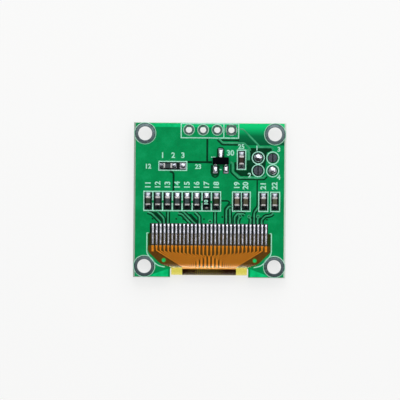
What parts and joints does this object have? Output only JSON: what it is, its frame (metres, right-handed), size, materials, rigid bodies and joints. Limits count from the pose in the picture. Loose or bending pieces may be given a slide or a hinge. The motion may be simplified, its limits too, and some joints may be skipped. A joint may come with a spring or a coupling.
{
  "type": "small oled display module",
  "caption": "Small square circuit board with a thin display panel under it, a folded amber ribbon tail, tiny surface parts and plated corner and header holes.",
  "frame": {"origin": "middle of the board's outline, at the front of the display's polariser, which it lies on", "axes": "+Z from the display face to the component side, +Y towards the header holes, +X to the right seen from the component side"},
  "size_m": [0.0274, 0.0278, 0.004],
  "materials": {
    "board_green": "satin",
    "tinned_metal": "satin",
    "solder": "satin",
    "polariser_film": "gloss",
    "panel_glass": "gloss",
    "oled_stack": "gloss",
    "glue": "gloss",
    "drying_sheet": "matte",
    "foam_tape": "matte",
    "silicon": "gloss",
    "resin": "gloss",
    "amber_film": "gloss",
    "copper_track": "satin",
    "black_epoxy": "matte",
    "capacitor_ceramic": "satin",
    "resistor_glaze": "satin"
  },
  "bodies": {
    "root": {"printed_circuit_board": "board_green", "mounting_hole_plating": "tinned_metal", "header_hole_plating": "tinned_metal", "chip_pads": "tinned_metal", "tail_pads": "tinned_metal", "address_pad": "tinned_metal", "jumper_pads": "tinned_metal", "polariser": "polariser_film", "front_glass": "panel_glass", "oled_layers": "oled_stack", "sealing_glue": "glue", "rear_glass": "panel_glass", "drying_sheet": "drying_sheet", "mounting_tape": "foam_tape", "driver_chip": "silicon", "bonding_film": "glue", "ledge_resin": "resin", "tail_film": "amber_film", "tail_tracks": "copper_track", "tail_cover": "amber_film", "tail_solder": "solder", "regulator": "black_epoxy", "regulator_leads": "tinned_metal", "chip_solder": "solder", "regulator_solder": "solder", "jumper_solder": "solder", "capacitor_1": "capacitor_ceramic", "capacitor_2": "capacitor_ceramic", "capacitor_3": "capacitor_ceramic", "capacitor_4": "capacitor_ceramic", "capacitor_5": "capacitor_ceramic", "capacitor_6": "capacitor_ceramic", "capacitor_7": "capacitor_ceramic", "capacitor_8": "capacitor_ceramic", "resistor_1": "resistor_glaze", "resistor_2": "resistor_glaze", "resistor_3": "resistor_glaze", "resistor_4": "resistor_glaze", "address_resistor": "resistor_glaze", "diode": "black_epoxy", "capacitor_1_ends": "tinned_metal", "capacitor_2_ends": "tinned_metal", "capacitor_3_ends": "tinned_metal", "capacitor_4_ends": "tinned_metal", "capacitor_5_ends": "tinned_metal", "capacitor_6_ends": "tinned_metal", "capacitor_7_ends": "tinned_metal", "capacitor_8_ends": "tinned_metal", "resistor_1_ends": "tinned_metal", "resistor_2_ends": "tinned_metal", "resistor_3_ends": "tinned_metal", "resistor_4_ends": "tinned_metal", "address_resistor_ends": "tinned_metal", "diode_ends": "tinned_metal"}
  },
  "joints": []
}
